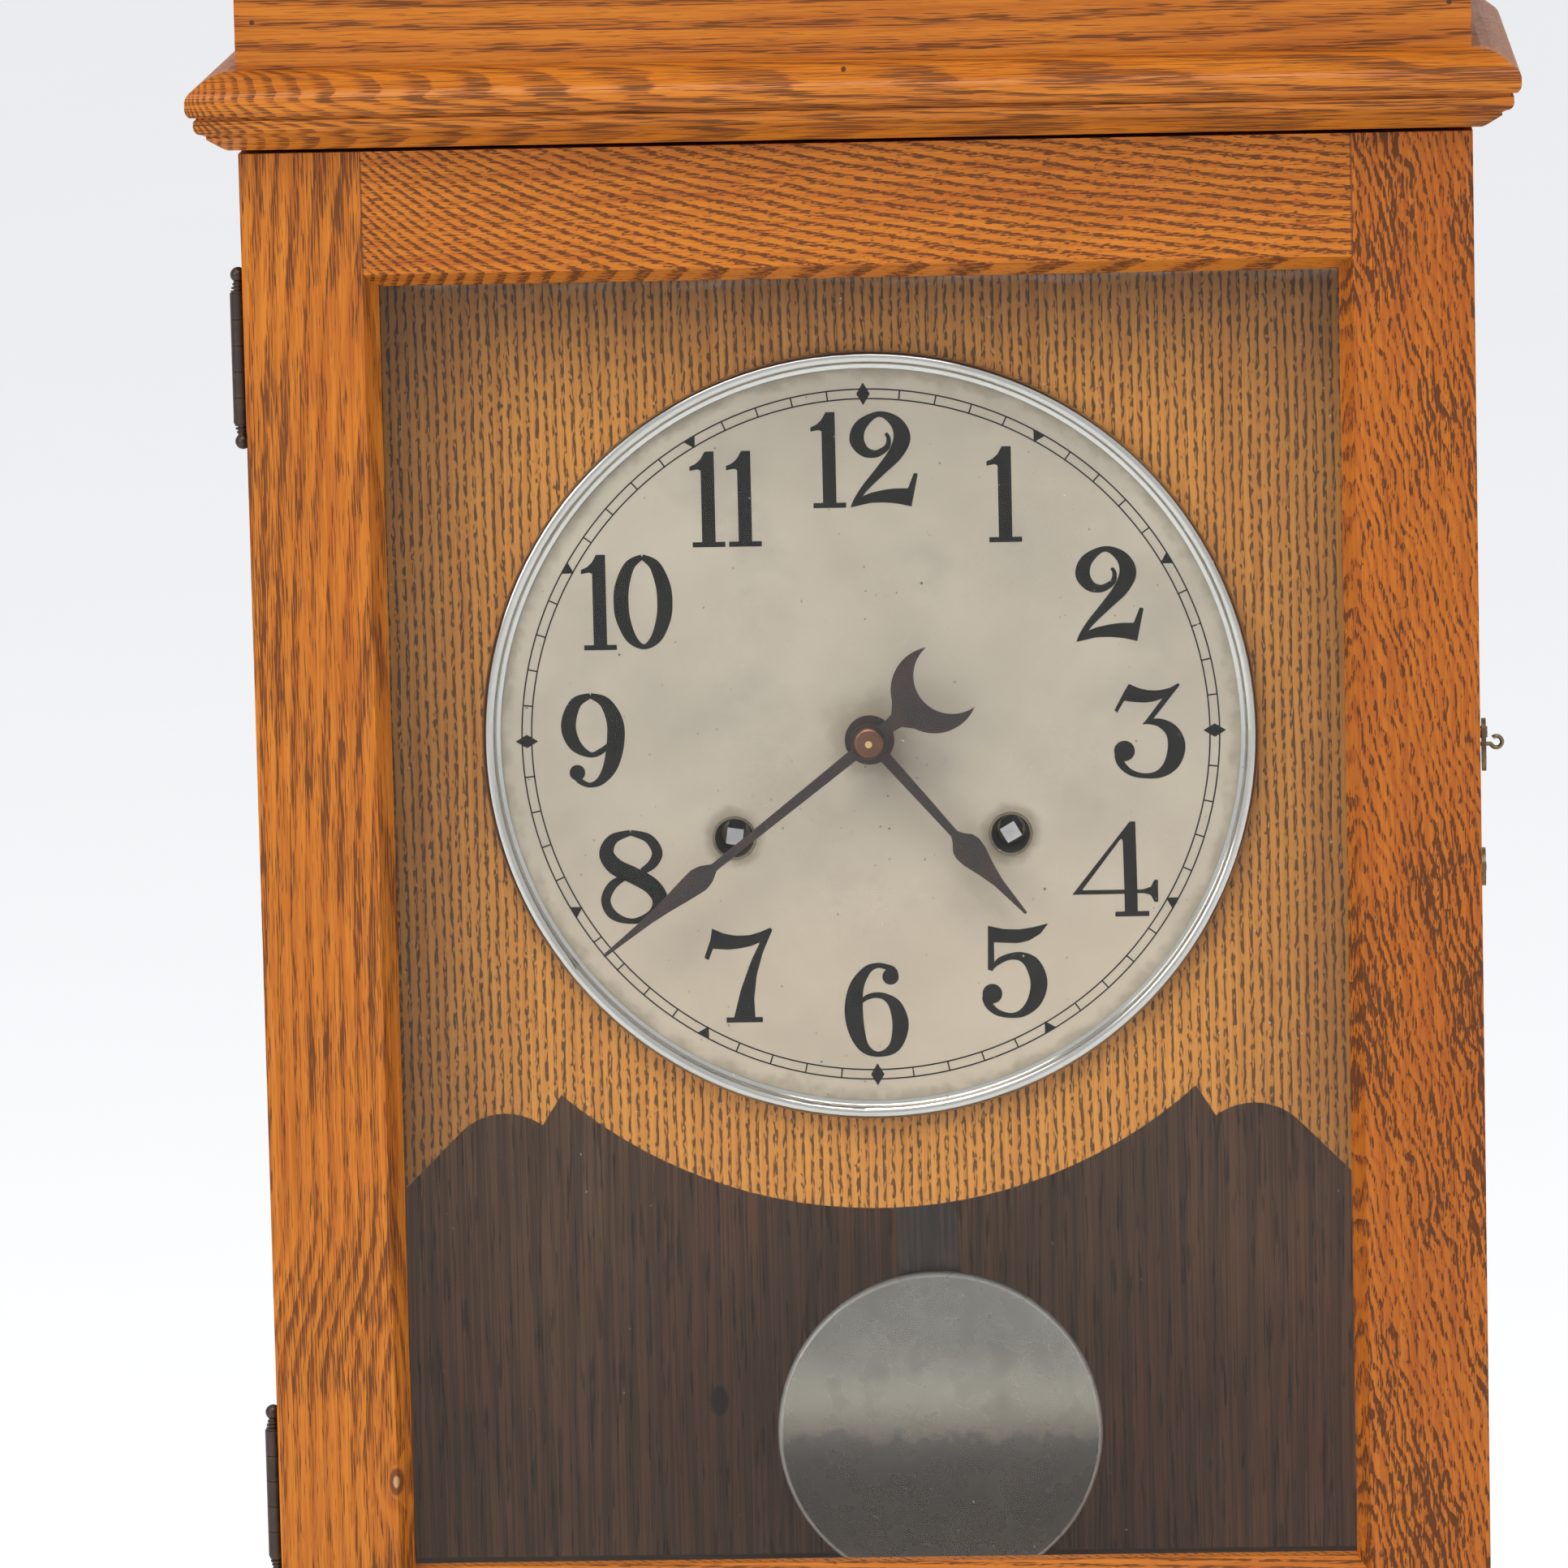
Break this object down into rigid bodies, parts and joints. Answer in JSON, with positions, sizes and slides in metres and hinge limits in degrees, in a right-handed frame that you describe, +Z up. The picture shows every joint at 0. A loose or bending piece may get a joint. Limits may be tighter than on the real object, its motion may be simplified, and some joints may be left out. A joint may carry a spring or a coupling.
{
  "type": "cased punch time clock",
  "caption": "Tall oak-cased clock with glazed door, round dial and pendulum over a card-stamping recorder with cover, hand lever and card slot.",
  "frame": {"origin": "on the floor under the middle of the case, half way between the door front and the back of the case", "axes": "+X to the right as you face the dial, +Y towards the back, +Z up"},
  "size_m": [0.5162, 0.412, 1.116],
  "materials": {
    "oak": "golden oak with dark open grain under a worn clear varnish",
    "plain_wood": "plain unstained boards",
    "glass": "old clear window glass",
    "hinge_brass": "dark browned brass",
    "brass": "brushed yellow brass, dulled",
    "dial_paint": "aged silvered paint with black printed hours and ring",
    "nickel": "worn bright nickel plate",
    "blued_steel": "blued steel",
    "steel": "plain machined steel",
    "bob_brass": "mottled lacquered brass face with a bright rim",
    "dark_wood": "dark stained hardwood",
    "black_iron": "black japanned iron",
    "ribbon_cloth": "inked cotton ribbon"
  },
  "bodies": {
    "case": {"case_side_left": "oak", "case_side_right": "oak", "back_board": "plain_wood", "top_cap": "oak", "frieze_board": "oak", "cornice_moulding": "oak", "shelf_board": "plain_wood", "bottom_board": "plain_wood", "base_moulding": "oak", "recorder_face_frame": "oak", "dial_panel": "oak", "hinge_leaves_case": "hinge_brass", "hinge_pins": "hinge_brass", "side_brasses": "brass", "dial_plate": "dial_paint", "dial_bezel": "nickel", "winding_collets": "brass", "movement_front_plate": "brass", "movement_back_plate": "brass", "movement_pillars": "steel", "mainsprings": "steel", "recorder_frame": "black_iron", "carriage_rods": "nickel", "ribbon": "ribbon_cloth", "bell": "nickel", "lever_return_spring": "steel"},
    "door": {"door_stile_left": "oak", "door_stile_right": "oak", "door_rail_top": "oak", "door_rail_bottom": "oak", "door_glass": "glass", "glazing_beads": "oak", "hinge_leaves_door": "hinge_brass"},
    "minute_arbor": {"centre_arbor": "brass", "minute_hand": "blued_steel", "hand_nut": "brass"},
    "hour_pipe": {"hour_wheel": "brass", "hour_hand": "blued_steel"},
    "motion_wheel": {"minute_wheel": "brass"},
    "third_arbor": {"third_wheel": "brass"},
    "escape_arbor": {"escape_wheel": "brass"},
    "great_wheel_left_body": {"great_wheel_left": "brass"},
    "great_wheel_right_body": {"great_wheel_right": "brass"},
    "winding_left": {"winding_arbor_left": "steel"},
    "winding_right": {"winding_arbor_right": "steel"},
    "pendulum": {"pendulum_rod": "dark_wood", "pendulum_bob": "bob_brass"},
    "verge_body": {"verge": "steel"},
    "keyhole_cover_body": {"keyhole_cover": "brass"},
    "cover": {"recorder_cover": "black_iron"},
    "card_carriage": {"card_throat": "nickel"},
    "minute_type": {"type_wheel_minute": "steel"},
    "hour_type": {"type_wheel_hour": "steel"},
    "spool_left": {"ribbon_spool_left": "steel"},
    "spool_right": {"ribbon_spool_right": "steel"},
    "printing_hammer": {"hammer": "steel"},
    "lever": {"punch_lever": "steel", "lever_knob": "dark_wood"},
    "bell_striker": {"bell_hammer": "steel"},
    "trip": {"trip_rod": "steel"}
  },
  "joints": [
    {"name": "door_hinge", "type": "hinge", "parent": "case", "child": "door", "pos_m": [-0.2431, -0.1135, 0.7015], "axis": [0, 0, -1], "range_deg": [0, 110]},
    {"name": "minute_turn", "type": "hinge", "parent": "case", "child": "minute_arbor", "pos_m": [0, -0.08, 0.772], "axis": [0, 1, 0], "continuous": true},
    {"name": "hour_turn", "type": "hinge", "parent": "case", "child": "hour_pipe", "pos_m": [0, -0.08, 0.772], "axis": [0, 1, 0], "continuous": true},
    {"name": "motion_wheel_turn", "type": "hinge", "parent": "case", "child": "motion_wheel", "pos_m": [0, -0.075, 0.748], "axis": [0, 1, 0], "continuous": true},
    {"name": "third_turn", "type": "hinge", "parent": "case", "child": "third_arbor", "pos_m": [0.00769, -0.04, 0.81176], "axis": [0, 1, 0], "continuous": true},
    {"name": "escape_turn", "type": "hinge", "parent": "case", "child": "escape_arbor", "pos_m": [0, -0.03, 0.842], "axis": [0, 1, 0], "continuous": true},
    {"name": "great_left_turn", "type": "hinge", "parent": "case", "child": "great_wheel_left_body", "pos_m": [-0.0547, -0.058, 0.732], "axis": [0, 1, 0], "continuous": true},
    {"name": "great_right_turn", "type": "hinge", "parent": "case", "child": "great_wheel_right_body", "pos_m": [0.0547, -0.052, 0.732], "axis": [0, 1, 0], "continuous": true},
    {"name": "winding_left_turn", "type": "hinge", "parent": "great_wheel_left_body", "child": "winding_left", "pos_m": [-0.0547, -0.058, 0.732], "axis": [0, 1, 0], "continuous": true},
    {"name": "winding_right_turn", "type": "hinge", "parent": "great_wheel_right_body", "child": "winding_right", "pos_m": [0.0547, -0.052, 0.732], "axis": [0, 1, 0], "continuous": true},
    {"name": "pendulum_swing", "type": "hinge", "parent": "case", "child": "pendulum", "pos_m": [0, 0.014, 0.8747], "axis": [0, 1, 0], "range_deg": [-0.8, 6.2]},
    {"name": "verge_rock", "type": "hinge", "parent": "case", "child": "verge_body", "pos_m": [0, -0.04, 0.8747], "axis": [0, 1, 0], "range_deg": [-0.8, 6.2]},
    {"name": "keyhole_cover_swing", "type": "hinge", "parent": "case", "child": "keyhole_cover_body", "pos_m": [0.242, -0.091, 0.769], "axis": [1, 0, 0], "range_deg": [-85, 85]},
    {"name": "recorder_cover_hinge", "type": "hinge", "parent": "case", "child": "cover", "pos_m": [-0.151, -0.144, 0.207], "axis": [0, 0, -1], "range_deg": [0, 95]},
    {"name": "minute_type_turn", "type": "hinge", "parent": "case", "child": "minute_type", "pos_m": [0, -0.125, 0.215], "axis": [1, 0, 0], "continuous": true},
    {"name": "hour_type_turn", "type": "hinge", "parent": "case", "child": "hour_type", "pos_m": [0, -0.125, 0.215], "axis": [1, 0, 0], "continuous": true},
    {"name": "spool_left_turn", "type": "hinge", "parent": "case", "child": "spool_left", "pos_m": [-0.092, -0.144, 0.215], "axis": [0, 0, 1], "continuous": true},
    {"name": "spool_right_turn", "type": "hinge", "parent": "case", "child": "spool_right", "pos_m": [0.092, -0.144, 0.215], "axis": [0, 0, 1], "continuous": true},
    {"name": "lever_press", "type": "hinge", "parent": "case", "child": "lever", "pos_m": [0, -0.18, 0.108], "axis": [1, 0, 0], "range_deg": [0, 30], "stiffness_Nm_per_rad": 1.5, "springref_deg": -14.32, "deforming": ["lever_return_spring"]},
    {"name": "hammer_swing", "type": "hinge", "parent": "case", "child": "printing_hammer", "pos_m": [0, -0.185, 0.13], "axis": [1, 0, 0], "range_deg": [-5, 0]},
    {"name": "bell_strike", "type": "hinge", "parent": "case", "child": "bell_striker", "pos_m": [0.127, -0.05, 0.12], "axis": [1, 0, 0], "range_deg": [0, 6]},
    {"name": "card_shift", "type": "slide", "parent": "case", "child": "card_carriage", "axis": [1, 0, 0], "range_m": [-0.018, 0.018]},
    {"name": "trip_lift", "type": "slide", "parent": "case", "child": "trip", "axis": [0, 0, 1], "range_m": [0, 0.006]}
  ],
  "couplings": [
    {"joint": "hour_turn", "follows": "minute_turn", "ratio": 0.083333},
    {"joint": "motion_wheel_turn", "follows": "minute_turn", "ratio": -0.33333},
    {"joint": "third_turn", "follows": "minute_turn", "ratio": -8},
    {"joint": "escape_turn", "follows": "minute_turn", "ratio": 70},
    {"joint": "great_left_turn", "follows": "minute_turn", "ratio": -0.11111},
    {"joint": "great_right_turn", "follows": "minute_turn", "ratio": -0.11111},
    {"joint": "minute_type_turn", "follows": "minute_turn", "ratio": 1},
    {"joint": "hour_type_turn", "follows": "minute_turn", "ratio": 0.041667},
    {"joint": "verge_rock", "follows": "pendulum_swing", "ratio": 1},
    {"joint": "spool_right_turn", "follows": "spool_left_turn", "ratio": 1},
    {"joint": "hammer_swing", "follows": "lever_press", "ratio": -0.16667},
    {"joint": "bell_strike", "follows": "lever_press", "ratio": 0.2}
  ]
}
